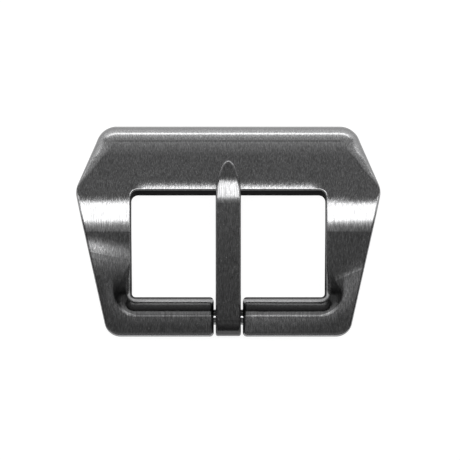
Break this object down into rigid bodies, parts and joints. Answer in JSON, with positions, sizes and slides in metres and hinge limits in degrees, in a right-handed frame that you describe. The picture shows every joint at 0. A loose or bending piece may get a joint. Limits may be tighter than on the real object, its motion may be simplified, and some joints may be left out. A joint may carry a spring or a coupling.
{
  "type": "watch tang buckle",
  "caption": "Arched watch strap buckle: plate frame with sloping shoulders, fixed strap bar, and a tang curled round the bar's neck that rests on the top rail.",
  "frame": {"origin": "on the surface that the buckle lies on, below the middle of the frame's width and length", "axes": "+X across the strap, +Y from the strap bar towards the tang's tip, +Z out of the front face"},
  "size_m": [0.0374, 0.026, 0.0065],
  "materials": {
    "frame_steel": "brushed along the strap, from the strap bar to the top rail",
    "tang_steel": "brushed along its length, polished on the curled end"
  },
  "bodies": {
    "frame": {"frame": "frame_steel"},
    "tang": {"tang": "tang_steel"}
  },
  "joints": [
    {"name": "tang_hinge", "type": "hinge", "parent": "frame", "child": "tang", "pos_m": [0, -0.0106, 0.0024], "axis": [1, 0, 0], "range_deg": [0, 170]}
  ]
}
